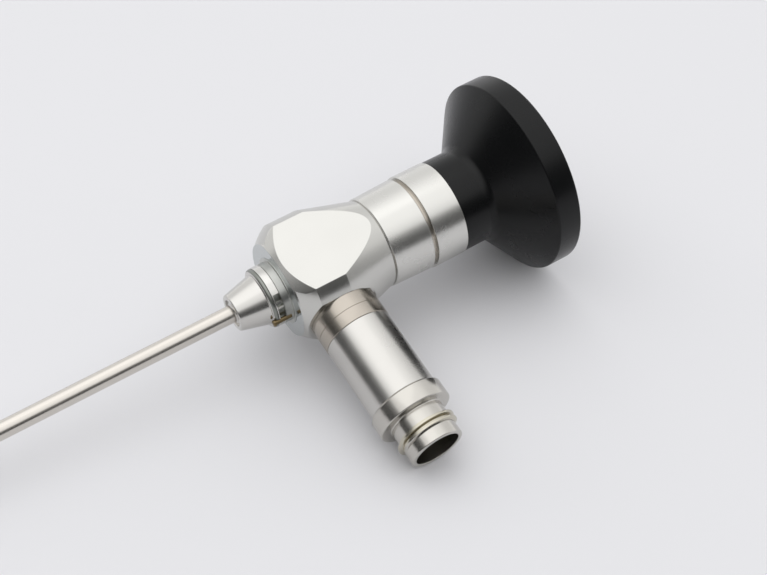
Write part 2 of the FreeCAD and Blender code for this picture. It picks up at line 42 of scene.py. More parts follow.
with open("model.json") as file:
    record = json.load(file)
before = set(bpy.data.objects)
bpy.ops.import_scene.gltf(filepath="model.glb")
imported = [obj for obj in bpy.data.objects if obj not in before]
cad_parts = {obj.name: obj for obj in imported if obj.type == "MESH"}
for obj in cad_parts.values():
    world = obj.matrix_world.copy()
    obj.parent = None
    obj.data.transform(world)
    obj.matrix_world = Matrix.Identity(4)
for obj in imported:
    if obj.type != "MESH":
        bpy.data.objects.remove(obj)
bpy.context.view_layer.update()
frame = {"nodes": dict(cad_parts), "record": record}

MM = 0.001
AXIS = Vector((1, 0, 0))

# Points closer than TINY metres are merged, and a corner's edges are found within CORNER_REACH
TINY = 1e-7
CORNER_REACH = 20 * TINY

# Sides of a turned piece, more of them on the wide cup and fewer on the thin pieces, and steps
# of the notch's part turn and of the whole wound ridge
SPIN_STEPS = 192
CUP_STEPS = 256
SOCKET_STEPS = 128
SHAFT_STEPS = 64
PIN_STEPS = 48
NOTCH_STEPS = 48
RIDGE_STEPS = 180

# Faces across a rounding, three times as many from a radius of WIDE_ROUND on, and across the
# body's bulge
ROUND_STEPS = 4
WIDE_ROUND = 0.5 * MM
BULGE_STEPS = 8

# Angles up to which turned and milled faces are shaded smooth, and from which an edge is broken
SMOOTH_ANGLE = math.radians(28)
MILLED_ANGLE = math.radians(12)
BREAK_ANGLE = math.radians(20)

MOUNTS = {mount["name"]: mount for mount in frame["record"]["mounts"]}
SLOTS = {part["node"]: part["material_slot"] for part in frame["record"]["subparts"]}


# The instrument's own frame

def instrument_place():
    """X runs along the optical axis towards the eyepiece, the light post stands along -Y."""
    rim = MOUNTS["eyepiece_rim"]
    bore = MOUNTS["light_post_bore"]
    x = Vector(rim["axis"]).normalized()
    y = -Vector(bore["axis"])
    y = (y - x * y.dot(x)).normalized()
    z = x.cross(y)
    start = Vector(rim["pos_m"])
    origin = start + x * (Vector(bore["pos_m"]) - start).dot(x)
    return Matrix.Translation(origin) @ Matrix((x, y, z)).transposed().to_4x4()


SCOPE = instrument_place()
POST = SCOPE @ Matrix.Rotation(math.radians(-90), 4, "Z")


def reach(name, place):
    """Where a CAD node starts and ends along an axis, and its largest radius round it."""
    inverse = place.inverted()
    points = [inverse @ vertex.co for vertex in frame["nodes"][name].data.vertices]
    along = [point.x for point in points]
    return min(along), max(along), max(math.hypot(point.y, point.z) for point in points)


# Sizes and colours that a user would change

def length(name, description, millimetres):
    """A length that can be changed, shown in the scene's own unit."""
    return FloatProperty(name=name, description=description, default=millimetres * MM,
                         min=0.0, precision=5, subtype="DISTANCE", unit="LENGTH")


def angle(name, description, degrees):
    """An angle that can be changed, given in degrees."""
    return FloatProperty(name=name, description=description, default=math.radians(degrees),
                         subtype="ANGLE", unit="ROTATION")


def number(name, description, value, low, high):
    """A plain number that can be changed between two limits."""
    return FloatProperty(name=name, description=description, default=value, min=low, max=high)


def linear(colour):
    """Linear colour from an sRGB hex value."""
    parts = [int(colour[i:i + 2], 16) / 255 for i in (1, 3, 5)]
    return [c / 12.92 if c <= 0.04045 else ((c + 0.055) / 1.055) ** 2.4 for c in parts]


def tint(name, description, colour):
    """A colour that can be changed, given as an sRGB hex value."""
    return FloatVectorProperty(name=name, description=description, default=linear(colour),
                               size=3, min=0.0, max=1.0, subtype="COLOR")


class ShaftSizes(PropertyGroup):
    radius: length("Shaft radius", "Outer radius of the shaft", MOUNTS["shaft"]["dims"]["r_mm"])
    wall: length("Tube wall", "Wall of the outer tube", 0.2)
    tip_round: length("Tip rounding", "Rounding at the tip's outer edge", 0.1)
    socket_front: length("Socket front", "Outer radius at the front of the socket", 2.9)
    socket_rear: length("Socket rear", "Radius of the cone where it meets the flange", 4.06)
    rim_width: length("Rim width", "Width of the flat rim at the socket's front", 0.75)
    fillet: length("Fillet", "How far the joint's fillet stands out round the shaft", 0.45)
    rim_round: length("Rim rounding", "Rounding at the socket's front edge", 0.25)
    recess: length("Recess", "Depth of the recess round the shaft", 0.3)
    flange_gap: length("Flange gap", "Gap between flange and lock ring", 0.02)
    flange_width: length("Flange width", "Thickness of the flange", 0.68)
    flange_round: length("Flange rounding", "Rounding at the front of the flange", 0.55)
    drum: length("Drum radius", "Radius of the drum inside the lock ring", 4.2)
    edge: length("Edge break", "Rounding of turned edges", 0.08)


class RingSizes(PropertyGroup):
    radius: length("Ring radius", "Outer radius of the lock ring", 4.85)
    clearance: length("Clearance", "Gap between the ring and the drum", 0.05)
    lip: length("Lip", "Width of the lip in front of the notch", 0.15)
    notch_width: length("Notch width", "Width of the notch along the axis", 1.0)
    line: length("Line", "Width and depth of the fine turned line", 0.1)
    foot: length("Foot", "Thickness of the ring's flat foot", 0.12)
    edge: length("Edge break", "Rounding of the ring's edges", 0.05)
    pin_radius: length("Pin radius", "Radius of the brass pin", 0.38)
    pin_head: length("Pin head", "Radius of the pin's head", 0.5)
    pin_head_length: length("Head length", "How far the pin's head stands out", 0.4)
    pin_length: length("Pin length", "Length of the pin behind its head", 2.7)
    pin_pitch: length("Pin pitch", "Distance of the pin from the optical axis", 4.75)
    notch_start: angle("Notch start", "Angle where the notch starts", 120)
    notch_sweep: angle("Notch sweep", "Angle that the notch covers", 54.5)
    pin_angle: angle("Pin angle", "Angle where the pin sits", 176)


class BodySizes(PropertyGroup):
    bore: length("Bore", "Radius of the body's bore", 3.4)
    front_edge: length("Front edge", "Radius of the body's front face", 7.62)
    front_land: length("Front land", "Length of the small land behind the front face", 0.25)
    front_rise: length("Front rise", "How far the small land rises", 0.12)
    shoulder: length("Shoulder", "Length of the shoulder", 2.48)
    bulge: length("Shoulder bulge", "How far the shoulder bulges", 0.11)
    straight: length("Straight", "Length at the full radius", 5.1)
    rear_radius: length("Rear radius", "Radius where the taper meets the barrel", 7.12)
    top_flat: length("Upper flat", "Distance of the upper and lower flats from the axis", 7.42)
    relief_inset: length("Relief inset", "Where the flat's relief starts", 0.6)
    relief_drop: length("Relief drop", "How far the relief's own axis lies below", 5.0)
    relief_slope: number("Relief slope", "Rise of the relief over its run", 0.68, 0.1, 2.0)
    side_flat: length("Side flat", "Distance of the side flat from the axis", 8.05)
    run_out: length("Run-out", "Radius where the side flat runs out round the post", 5.65)


class PostSizes(PropertyGroup):
    duct: length("Duct", "Radius of the duct inside the post", 3.0)
    line: length("Line", "Distance of the fine line from the side flat", 2.25)
    collar: length("Collar", "Length of the collar", 3.05)
    collar_chamfer: length("Collar chamfer", "Chamfer at the front of the collar", 0.35)
    end_radius: length("End radius", "Outer radius of the threaded end", 4.25)
    bore: length("Bore", "Radius of the open mouth", MOUNTS["light_post_bore"]["dims"]["r_mm"])
    round: length("Rounding", "Rounding of the collar and the mouth", 0.2)
    edge: length("Edge break", "Rounding of turned edges", 0.08)
    ridge_radius: length("Ridge radius", "Outer radius of the wound ridge", 4.82)
    ridge_pitch: length("Ridge pitch", "Rise of the ridge over one turn", 0.87)
    ridge_start: length("Ridge start", "Distance of the ridge from the collar", 2.15)
    ridge_base: length("Ridge base", "Width of the ridge at its root", 0.8)
    ridge_crest: length("Ridge crest", "Width of the ridge at its crest", 0.3)
    ridge_turns: number("Ridge turns", "Turns of the wound ridge", 1.75, 0.5, 4.0)
    ridge_run_out: number("Ridge run-out", "Part of a turn over which the ridge's ends sink",
                          0.08, 0.01, 0.5)


class BarrelSizes(PropertyGroup):
    front_radius: length("Front radius", "Radius of the front barrel at the body's seam", 7.38)
    seam: length("Seam chamfer", "Chamfer of the front barrel at the body's seam", 0.1)
    step: length("Barrel step", "How much the front barrel is smaller at the groove", 0.15)
    joint: length("Joint radius", "Radius of the joint inside the barrels", 6.0)
    edge: length("Edge break", "Rounding of the barrels' edges", 0.1)


class EyepieceSizes(PropertyGroup):
    neck: length("Neck radius", "Radius of the cup's neck", 7.65)
    neck_length: length("Neck length", "Length of the cup's neck", 5.14)
    neck_round: length("Neck rounding", "Hollow rounding where the neck flares", 1.8)
    funnel: length("Funnel length", "Length of the flare", 6.3)
    edge: length("Rim rounding", "Rounding of the rim's edges", 0.35)
    rim_wall: length("Rim wall", "Thickness of the rim at the open end", 1.3)
    dish: length("Dish length", "Length of the open dish", 7.4)
    dish_depth: length("Dish depth", "Depth of the dish from the rim to the window ring", 9.88)
    dish_round: length("Dish rounding", "Rounding inside the rim", 1.0)
    window: length("Window radius", "Radius of the eyepiece window", 5.0)
    ledge: length("Ledge radius", "Radius of the ledge under the window", 4.3)


class FinishColours(PropertyGroup):
    shaft: tint("Shaft steel", "Drawn tube with a warm tone", "#D2CDC6")
    socket: tint("Socket steel", "Turned steel of the tapered socket", "#CDCBC7")
    body: tint("Body steel", "Polished steel of the body", "#CBCAC6")
    barrel: tint("Barrel steel", "Satin steel of the two barrels", "#D4D3CF")
    base_ring: tint("Base ring steel", "Satin steel with a brownish tone", "#B5AEA4")
    sleeve: tint("Sleeve steel", "Satin steel of the light post", "#CBC9C5")
    spigot: tint("Spigot steel", "Turned steel of the threaded end", "#C4C1BB")
    ring: tint("Lock ring", "Steel of the lock ring", "#D1D0CC")
    # Painted shade: darker steel on the flange and the drum, where the recess between cone,
    # flange and lock ring lies in shade
    painted_recess_shade: tint("Painted shade", "Painted shade of the flange and the drum", "#8B8D88")
    # Painted shade: darker steel on the lock ring's rear band, standing in for the shade on that
    # side of the ring
    painted_rear_shade: tint("Painted rear shade", "Rear band of the lock ring", "#B9BAB6")
    # The lapped face's low roughness is real; its darker bluish tint is a painted reflection of
    # the floor that the face mirrors
    lapped_with_painted_tint: tint("Lapped face", "Bright face at the front of the body", "#BCC0C0")
    thread: tint("Thread", "Waxed steel between the turns of the ridge", "#C6C1B3")
    brass: tint("Brass", "Dull brass of the lock pin", "#9A8867")
    cup: tint("Cup plastic", "Matt black plastic of the eyepiece", "#08090A")
    anodised: tint("Anodised aluminium", "Black anodised rings inside", "#141416")
    fibre: tint("Glass fibre", "Ground ends of the light fibres", "#CFC6AE")
    rubber: tint("Rubber", "Black sealing rubber", "#1C1C1D")
    glass: tint("Optical glass", "Clear glass of windows and lenses", "#EEF3F6")


class StageSettings(PropertyGroup):
    floor: tint("Floor", "Colour of the pale floor", "#E6E6E9")
    key: number("Key light", "Radiance of the soft light overhead", 0.22, 0.0, 20.0)
    room: number("Room light", "Strength of the light from all round", 1.37, 0.0, 5.0)
    azimuth: angle("Azimuth", "Camera angle round the object, 0 looks along +Y", -32.558)
    elevation: angle("Elevation", "Camera angle above the horizon", 45.158)
    roll: angle("Roll", "Turn of the camera about its view", 0.466)
    distance: length("Distance", "Distance from the camera to the point it looks at", 221.0)
    aim: FloatVectorProperty(name="Aim", description="Point that the camera looks at",
                             default=(0.049227, 0.000578, 0.0128), subtype="TRANSLATION",
                             unit="LENGTH")
    lens: FloatProperty(name="Focal length", description="Focal length on a 36 mm sensor",
                        default=69.106, min=10.0, max=300.0, subtype="DISTANCE_CAMERA")


# Finishes

def add_node(tree, kind, inputs=(), **settings):
    """Adds a node. An input given as a socket is linked, any other value is set."""
    node = tree.nodes.new(kind)
    for name, value in settings.items():
        setattr(node, name, value)
    for name, value in dict(inputs).items():
        if isinstance(value, bpy.types.NodeSocket):
            tree.links.new(value, node.inputs[name])
        else:
            node.inputs[name].default_value = value
    return node


def new_material(name):
    """Empty node material and its tree."""
    material = bpy.data.materials.new(name)
    material.use_nodes = True
    material.node_tree.nodes.clear()
    return material, material.node_tree


def close_material(material, shader):
    """Links the shader to the material's output, and hands the material back."""
    add_node(material.node_tree, "ShaderNodeOutputMaterial", {"Surface": shader.outputs["BSDF"]})
    return material


def opaque(colour, factor=1.0):
    """Colour with full alpha, darkened or made paler by a factor."""
    return (*(min(1.0, part * factor) for part in colour), 1)


def new_finish(name):
    """New material, its tree, and the Object coordinates that its patterns follow, turned into
    the instrument's own frame and given in millimetres."""
    material, tree = new_material(name)
    place = add_node(tree, "ShaderNodeTexCoord").outputs["Object"]
    mapping = add_node(tree, "ShaderNodeMapping", {
        "Vector": place,
        "Location": SCOPE.translation,
        "Rotation": SCOPE.to_euler(),
        "Scale": (MM, MM, MM),
    }, vector_type="TEXTURE")
    return material, tree, mapping.outputs["Vector"]


def handling_marks(tree, place, roughness, spread=0.03):
    """Roughness that drifts over some 6 mm, as on polished metal that has been wiped."""
    drift = 6
    cloud = add_node(tree, "ShaderNodeTexNoise",
                     {"Vector": place, "Scale": 1 / drift, "Detail": 3.0, "Roughness": 0.55})
    return add_node(tree, "ShaderNodeMapRange", {
        "Value": cloud.outputs["Fac"],
        "From Min": 0.3, "From Max": 0.7,
        "To Min": roughness - spread, "To Max": roughness + spread,
    }).outputs["Result"]


def turned_steel(name, colour, roughness, along, pitch, depth, band=None):
    """Stainless steel off the lathe and polished: fine rings round the axis, which draw each
    highlight out along the piece, and a slight drift of gloss. The real rings are some 0.05 mm
    apart: they are drawn coarser, at the given pitch and depth in millimetres, so that they show.
    A band of (start, stop, colour, roughness) along the axis can have its own colour and gloss,
    as on a lapped face, whose bluish tint is a painted reflection, or a waxed thread; it also
    carries painted shade, as on the flange, the drum and the lock ring's rear band."""
    material, tree, place = new_finish(name)
    station = add_node(tree, "ShaderNodeSeparateXYZ", {"Vector": place}).outputs[along]
    rings = add_node(tree, "ShaderNodeTexNoise",
                     {"W": station, "Scale": 1 / pitch, "Detail": 4.0, "Roughness": 0.7},
                     noise_dimensions="1D")
    gloss = handling_marks(tree, place, roughness)
    tone = opaque(colour)
    if band:
        start, stop, band_colour, band_roughness = band
        inside = add_node(tree, "ShaderNodeMath", {
            0: station, 1: (start + stop) / 2, 2: (stop - start) / 2},
            operation="COMPARE").outputs["Value"]
        gloss = add_node(tree, "ShaderNodeMix", {
            "Factor": inside, "A": gloss, "B": band_roughness}).outputs["Result"]
        tone = add_node(tree, "ShaderNodeMix", {
            "Factor": inside, "A": tone, "B": opaque(band_colour)},
            data_type="RGBA").outputs["Result"]
    relief = add_node(tree, "ShaderNodeBump", {
        "Height": rings.outputs["Fac"], "Distance": depth * MM, "Strength": 1.0})
    shader = add_node(tree, "ShaderNodeBsdfPrincipled", {
        "Base Color": tone, "Metallic": 1.0,
        "Roughness": gloss, "Normal": relief.outputs["Normal"]})
    return close_material(material, shader)


def drawn_steel(name, colour, roughness):
    """Tube drawn through a die and polished: faint scores run along it and break the highlight
    into long streaks. The real scores are finer: they are drawn about 0.2 mm wide."""
    score_length, score_width, depth = 25, 0.2, 0.0015
    material, tree, place = new_finish(name)
    stretched = add_node(tree, "ShaderNodeMapping", {
        "Vector": place, "Scale": (1 / score_length, 1 / score_width, 1 / score_width)})
    scores = add_node(tree, "ShaderNodeTexNoise", {
        "Vector": stretched.outputs["Vector"], "Scale": 1.0, "Detail": 3.0, "Roughness": 0.6})
    relief = add_node(tree, "ShaderNodeBump", {
        "Height": scores.outputs["Fac"], "Distance": depth * MM, "Strength": 1.0})
    shader = add_node(tree, "ShaderNodeBsdfPrincipled", {
        "Base Color": opaque(colour), "Metallic": 1.0,
        "Roughness": handling_marks(tree, place, roughness), "Normal": relief.outputs["Normal"]})
    return close_material(material, shader)


def dull_brass(name, colour):
    """Brass that has been handled: brownish stains some 0.4 mm wide over the yellow, and no
    clear reflection."""
    stain_size, stain_tone = 0.4, 0.35
    material, tree, place = new_finish(name)
    stains = add_node(tree, "ShaderNodeTexNoise",
                      {"Vector": place, "Scale": 1 / stain_size, "Detail": 4.0, "Roughness": 0.6})
    mixed = add_node(tree, "ShaderNodeMix", {
        "Factor": stains.outputs["Fac"], "A": opaque(colour, stain_tone), "B": opaque(colour)},
        data_type="RGBA")
    shader = add_node(tree, "ShaderNodeBsdfPrincipled", {
        "Base Color": mixed.outputs["Result"], "Metallic": 1.0, "Roughness": 0.42})
    return close_material(material, shader)


def moulded_plastic(name, colour, roughness, grain, depth):
    """Filled black plastic from an eroded mould: a fine matt grain, whose size and depth are
    given in millimetres, turns highlights into a soft grey sheen."""
    material, tree, place = new_finish(name)
    pits = add_node(tree, "ShaderNodeTexNoise",
                    {"Vector": place, "Scale": 1 / grain, "Detail": 3.0, "Roughness": 0.6})
    relief = add_node(tree, "ShaderNodeBump", {
        "Height": pits.outputs["Fac"], "Distance": depth * MM, "Strength": 1.0})
    shader = add_node(tree, "ShaderNodeBsdfPrincipled", {
        "Base Color": opaque(colour), "Roughness": handling_marks(tree, place, roughness),
        "Specular IOR Level": 0.25, "Normal": relief.outputs["Normal"]})
    return close_material(material, shader)


def anodised_aluminium(name, colour):
    """Turned aluminium, anodised black: a dark satin with the turning rings, some 0.2 mm apart,
    still in it."""
    pitch, depth = 0.2, 0.001
    material, tree, place = new_finish(name)
    station = add_node(tree, "ShaderNodeSeparateXYZ", {"Vector": place}).outputs["X"]
    rings = add_node(tree, "ShaderNodeTexNoise",
                     {"W": station, "Scale": 1 / pitch, "Detail": 2.0}, noise_dimensions="1D")
    relief = add_node(tree, "ShaderNodeBump", {
        "Height": rings.outputs["Fac"], "Distance": depth * MM, "Strength": 1.0})
    shader = add_node(tree, "ShaderNodeBsdfPrincipled", {
        "Base Color": opaque(colour), "Metallic": 0.4,
        "Roughness": handling_marks(tree, place, 0.45, spread=0.04),
        "Normal": relief.outputs["Normal"]})
    return close_material(material, shader)


def coated_glass(name, colour):
    """Optical glass, ground, polished and coated: clear, with the faint violet sheen of a film
    120 nanometres thick."""
    material, tree, place = new_finish(name)
    shader = add_node(tree, "ShaderNodeBsdfPrincipled", {
        "Base Color": opaque(colour), "IOR": 1.52, "Transmission Weight": 1.0,
        "Roughness": handling_marks(tree, place, 0.03, spread=0.01),
        "Thin Film Thickness": 120.0, "Thin Film IOR": 1.38})
    return close_material(material, shader)


def ground_fibres(name, colour):
    """Bundled glass fibres, glued, ground and polished flush: a pale speckle of fibre ends in
    darker glue. The real fibres are some 0.03 mm thick: they are drawn 0.08 mm apart."""
    pitch, glue_tone = 0.08, 0.35
    material, tree, place = new_finish(name)
    ends = add_node(tree, "ShaderNodeTexVoronoi", {"Vector": place, "Scale": 1 / pitch})
    glue = add_node(tree, "ShaderNodeMapRange", {
        "Value": ends.outputs["Distance"], "From Min": 0.35, "From Max": 0.6})
    mixed = add_node(tree, "ShaderNodeMix", {
        "Factor": glue.outputs["Result"], "A": opaque(colour), "B": opaque(colour, glue_tone)},
        data_type="RGBA")
    shader = add_node(tree, "ShaderNodeBsdfPrincipled", {
        "Base Color": mixed.outputs["Result"], "Roughness": 0.3, "IOR": 1.5})
    return close_material(material, shader)


def moulded_rubber(name, colour):
    """Moulded sealing rubber: black, with a dusty bloom in patches some 1.5 mm wide."""
    bloom_size, bloom_tone = 1.5, 1.8
    material, tree, place = new_finish(name)
    bloom = add_node(tree, "ShaderNodeTexNoise",
                     {"Vector": place, "Scale": 1 / bloom_size, "Detail": 4.0, "Roughness": 0.6})
    mixed = add_node(tree, "ShaderNodeMix", {
        "Factor": bloom.outputs["Fac"], "A": opaque(colour), "B": opaque(colour, bloom_tone)},
        data_type="RGBA")
    shader = add_node(tree, "ShaderNodeBsdfPrincipled", {
        "Base Color": mixed.outputs["Result"], "Roughness": 0.7})
    return close_material(material, shader)


def make_finishes(scene):
    """One material for each slot of the record. Stations of bands are in millimetres along the
    axis that the rings are drawn round."""
    colours, post = scene.endoscope_colours, scene.endoscope_post
    shaft, ring = scene.endoscope_shaft, scene.endoscope_ring
    face = reach("body_housing", SCOPE)[0] / MM
    ring_front, ring_rear, _ = (edge / MM for edge in reach("lock_ring", SCOPE))
    flange = ring_front - (shaft.flange_gap + shaft.flange_width) / MM
    line = ring_front + (ring.lip + ring.notch_width) / MM
    thread = (reach("post_sleeve", POST)[1] + post.collar + post.ridge_start) / MM
    thread_end = thread + post.ridge_pitch * post.ridge_turns / MM
    # The painted shade spares the flange's front edge, and the lapped band with its painted
    # bluish tint takes in the body's face only
    spared, skin = 0.1, 0.05
    # Painted shade on the flange and the drum, from just behind the flange's front edge to the
    # body's face
    painted_recess_shade = (flange + spared, face, colours.painted_recess_shade, 0.3)
    # Painted shade on the lock ring's rear band, from the fine turned line to the ring's rear;
    # its higher roughness is real
    painted_rear_shade = (line, ring_rear, colours.painted_rear_shade, 0.3)
    # Lapped band on the body's face: real gloss, and a painted bluish reflection tint
    lapped_with_painted_tint = (face - skin, face + skin, colours.lapped_with_painted_tint, 0.14)
    waxed = (-thread_end, -thread, colours.thread, 0.24)
    return {
        "shaft_steel": drawn_steel("drawn_shaft_steel", colours.shaft, 0.24),
        "inner_steel": drawn_steel("drawn_inner_steel", colours.sleeve, 0.35),
        "socket_steel": turned_steel("turned_socket_steel", colours.socket, 0.2, "X",
                                     pitch=0.4, depth=0.0012, band=painted_recess_shade),
        "ring_steel": turned_steel("turned_ring_steel", colours.ring, 0.22, "X",
                                   pitch=0.3, depth=0.0008, band=painted_rear_shade),
        "body_steel": turned_steel("polished_body_steel", colours.body, 0.22, "X",
                                   pitch=0.5, depth=0.0008, band=lapped_with_painted_tint),
        "base_steel": turned_steel("satin_base_steel", colours.base_ring, 0.24, "Y",
                                   pitch=0.35, depth=0.002),
        "post_steel": turned_steel("satin_sleeve_steel", colours.sleeve, 0.25, "Y",
                                   pitch=0.5, depth=0.0018),
        "spigot_steel": turned_steel("turned_spigot_steel", colours.spigot, 0.2, "Y",
                                     pitch=0.4, depth=0.001, band=waxed),
        "barrel_steel": turned_steel("satin_barrel_steel", colours.barrel, 0.26, "X",
                                     pitch=0.45, depth=0.0012),
        "brass": dull_brass("dull_brass", colours.brass),
        "cup_black": moulded_plastic("matt_black_plastic", colours.cup, 0.28,
                                     grain=0.25, depth=0.003),
        "black_aluminium": anodised_aluminium("black_anodised_aluminium", colours.anodised),
        "optical_glass": coated_glass("coated_optical_glass", colours.glass),
        "fibre": ground_fibres("ground_glass_fibres", colours.fibre),
        "rubber": moulded_rubber("moulded_rubber", colours.rubber),
    }


# Materials by slot, made by finish_for
finishes = {}


def finish_for(slot):
    """The material of a slot, made with all the others when the first is asked for."""
    if not finishes:
        finishes.update(make_finishes(bpy.context.scene))
    return finishes[slot]


# Turning, cutting and finishing a piece

def pick(*pieces):
    """Selects these pieces and nothing else, and makes the last one active."""
    bpy.ops.object.select_all(action="DESELECT")
    for piece in pieces:
        piece.select_set(True)
    bpy.context.view_layer.objects.active = pieces[-1]


def spin_profile(name, corners, start=0.0, sweep=math.tau, steps=SPIN_STEPS):
    """Draws a profile of (along, radius) corners and spins it round the X axis. A part turn is
    filled to a solid wedge that starts at the given angle."""
    first = corners[0]
    bpy.ops.object.select_all(action="DESELECT")
    bpy.ops.mesh.primitive_plane_add(size=MM, location=(first[0], first[1], 0))
    piece = bpy.context.object
    piece.name = name
    bpy.ops.object.transform_apply(location=True, rotation=False, scale=False)
    bpy.ops.object.mode_set(mode="EDIT")
    bpy.ops.mesh.select_mode(type="VERT")
    bpy.ops.mesh.select_all(action="SELECT")
    bpy.ops.mesh.merge(type="CENTER")
    for before, after in zip(corners, corners[1:]):
        step = (after[0] - before[0], after[1] - before[1], 0)
        bpy.ops.mesh.extrude_region_move(TRANSFORM_OT_translate={"value": step})
    if sweep != math.tau:
        bpy.ops.mesh.select_all(action="SELECT")
        bpy.ops.mesh.edge_face_add()
    elif first[1] > 0 or corners[-1][1] > 0:
        close_profile(piece)
    bpy.ops.mesh.select_all(action="SELECT")
    bpy.ops.mesh.spin(steps=steps, angle=-sweep, center=(0, 0, 0), axis=AXIS)
    bpy.ops.mesh.select_all(action="SELECT")
    bpy.ops.mesh.remove_doubles(threshold=TINY)
    bpy.ops.mesh.normals_make_consistent(inside=False)
    bpy.ops.object.mode_set(mode="OBJECT")
    piece.matrix_world = Matrix.Rotation(start, 4, "X")
    bpy.ops.object.transform_apply(location=True, rotation=True, scale=True)
    return piece


def close_profile(piece):
    """Joins the last corner of a profile to the first."""
    bpy.ops.mesh.select_all(action="DESELECT")
    mesh = bmesh.from_edit_mesh(piece.data)
    for vertex in mesh.verts:
        if len(vertex.link_edges) == 1:
            vertex.select_set(True)
    bmesh.update_edit_mesh(piece.data)
    bpy.ops.mesh.edge_face_add()


def round_ring(piece, along, radius, offset, segments):
    """Bevels the ring of edges at one corner of a turned piece."""
    bpy.ops.object.mode_set(mode="EDIT")
    bpy.ops.mesh.select_mode(type="EDGE")
    bpy.ops.mesh.select_all(action="DESELECT")
    mesh = bmesh.from_edit_mesh(piece.data)
    for edge in mesh.edges:
        off = (max(abs(vertex.co.x - along), abs(math.hypot(vertex.co.y, vertex.co.z) - radius))
               for vertex in edge.verts)
        if max(off) < CORNER_REACH:
            edge.select_set(True)
    bmesh.update_edit_mesh(piece.data)
    bpy.ops.mesh.bevel(offset=offset, offset_type="OFFSET", segments=segments, profile=0.5,
                       affect="EDGES")
    bpy.ops.object.mode_set(mode="OBJECT")


def turned(name, corners, steps=SPIN_STEPS):
    """Turned piece from corners (along, radius) or (along, radius, rounding)."""
    piece = spin_profile(name, corners, steps=steps)
    for i, corner in enumerate(corners):
        if len(corner) < 3:
            continue
        along, radius, rounding = corner
        here = Vector((along, radius))
        back = Vector(corners[i - 1][:2]) - here
        ahead = Vector(corners[(i + 1) % len(corners)][:2]) - here
        offset = rounding / math.tan(back.angle(ahead) / 2)
        segments = ROUND_STEPS if rounding < WIDE_ROUND else 3 * ROUND_STEPS
        round_ring(piece, along, radius, offset, segments)
    return piece


def bulged(start, stop, bulge):
    """Points between start and stop on an arc that bulges to the left of the way."""
    start = Vector(start)
    stop = Vector(stop)
    chord = stop - start
    half = chord.length / 2
    radius = (half ** 2 + bulge ** 2) / (2 * bulge)
    left = Vector((-chord.y, chord.x)).normalized()
    centre = (start + stop) / 2 - left * (radius - bulge)
    sweep = 2 * math.asin(half / radius)
    turns = (Matrix.Rotation(-sweep * i / BULGE_STEPS, 2) for i in range(1, BULGE_STEPS))
    return [tuple(centre + turn @ (start - centre)) for turn in turns]


def cut(piece, cutter):
    """Takes the cutter's shape out of a piece, and then removes the cutter."""
    modifier = piece.modifiers.new("Cut", "BOOLEAN")
    modifier.operation = "DIFFERENCE"
    modifier.solver = "EXACT"
    modifier.object = cutter
    apply_modifier(piece, modifier)
    bpy.data.objects.remove(cutter)


def apply_modifier(piece, modifier):
    """Makes a modifier's result the piece's own mesh."""
    pick(piece)
    bpy.ops.object.modifier_apply(modifier=modifier.name)


def break_edges(piece, width):
    """Rounds every sharp edge finely, so that it catches the light."""
    modifier = piece.modifiers.new("Edge break", "BEVEL")
    modifier.limit_method = "ANGLE"
    modifier.angle_limit = BREAK_ANGLE
    modifier.width = width
    modifier.segments = 2
    modifier.use_clamp_overlap = True
    apply_modifier(piece, modifier)


def settle(piece, place, node, smooth=SMOOTH_ANGLE):
    """Puts a piece in its place on the instrument, shades it and gives it its node's finish."""
    pick(piece)
    piece.matrix_world = place
    bpy.ops.object.transform_apply(location=True, rotation=True, scale=True)
    bpy.ops.object.shade_smooth_by_angle(angle=smooth)
    modifier = piece.modifiers.new("Weighted normals", "WEIGHTED_NORMAL")
    modifier.keep_sharp = True
    apply_modifier(piece, modifier)
    piece.data.materials.clear()
    piece.data.materials.append(finish_for(SLOTS[node]))
    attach(piece, "root")
    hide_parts(node)


# The pieces

class ENDOSCOPE_OT_shaft(Operator):
    """Shaft tube with its rounded tip, and the tapered socket that holds it"""
    bl_idname = "endoscope.shaft"
    bl_label = "Shaft and socket"

    def execute(self, context):
        size = context.scene.endoscope_shaft
        tip, rear, _ = reach("shaft_tube", SCOPE)
        bore = size.radius - size.wall
        tube = turned("shaft", [
            (tip, bore),
            (tip, size.radius, size.tip_round),
            (rear, size.radius),
            (rear, bore),
        ], steps=SHAFT_STEPS)
        settle(tube, SCOPE, "shaft_tube")
        self.socket(size)
        return {"FINISHED"}

    def socket(self, size):
        """Cone with a recess round the shaft, a round-edged flange and the drum behind it."""
        front, _, flange_radius = reach("shaft_socket", SCOPE)
        ring_front, body_front, _ = reach("lock_ring", SCOPE)
        flange_rear = ring_front - size.flange_gap
        flange_front = flange_rear - size.flange_width
        rim_inner = size.socket_front - size.rim_width
        socket = turned("socket", [
            (front, size.radius),
            (front + size.recess, size.radius + size.fillet),
            (front + size.recess, rim_inner),
            (front, rim_inner, size.edge),
            (front, size.socket_front, size.rim_round),
            (flange_front, size.socket_rear, size.edge),
            (flange_front, flange_radius, size.flange_round),
            (flange_rear, flange_radius, size.edge),
            (flange_rear, size.drum),
            (body_front, size.drum),
            (body_front, size.radius),
        ], steps=SOCKET_STEPS)
        settle(socket, SCOPE, "shaft_socket")


